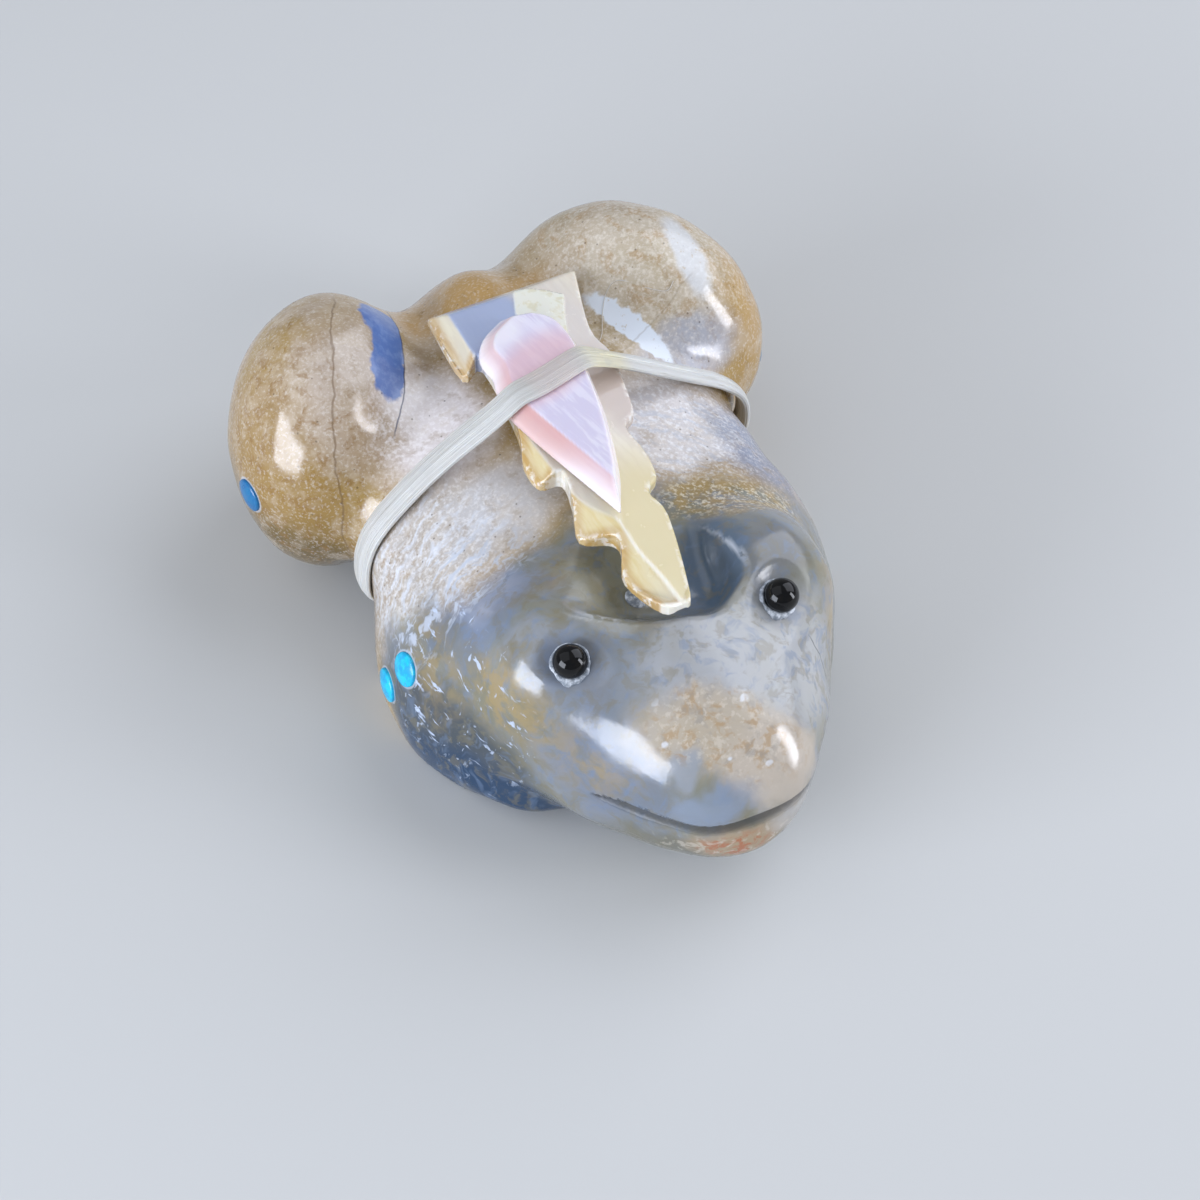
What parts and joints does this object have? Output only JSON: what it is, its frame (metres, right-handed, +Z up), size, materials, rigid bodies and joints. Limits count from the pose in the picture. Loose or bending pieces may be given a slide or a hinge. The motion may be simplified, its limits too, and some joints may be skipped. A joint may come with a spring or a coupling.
{
  "type": "carved stone frog fetish with a tied shell bundle",
  "caption": "Palm-sized carved stone frog with set jet eyes and turquoise inlays, carrying a shell point bundle tied to its back with sinew.",
  "frame": {"origin": "middle of the footprint, on the ground plane that the frog stands on", "axes": "+Z up, -Y towards the nose, +X towards the frog's left side"},
  "size_m": [0.0496, 0.0638, 0.0264],
  "materials": {
    "stone": "carved and hand polished, tan over the thighs and grey-blue over the head, with fine veins and specks",
    "jet": "polished to a glassy black",
    "turquoise": "polished, with a pale rim",
    "gold_lip_shell": "polished mother-of-pearl, cream and blue-grey on the flat, amber along the ground edges",
    "pink_shell": "polished pink shell with salmon edges",
    "sinew": "waxed, fibrous and slightly see-through"
  },
  "bodies": {
    "root": {"frog_body": "stone", "right_eye_bead": "jet", "left_eye_bead": "jet", "right_shoulder_upper_inlay": "turquoise", "right_shoulder_lower_inlay": "turquoise", "right_thigh_inlay": "turquoise", "left_shoulder_upper_inlay": "turquoise", "left_shoulder_lower_inlay": "turquoise", "left_thigh_inlay": "turquoise", "gold_lip_point": "gold_lip_shell", "pink_shell_point": "pink_shell", "sinew_tie": "sinew"}
  },
  "joints": []
}
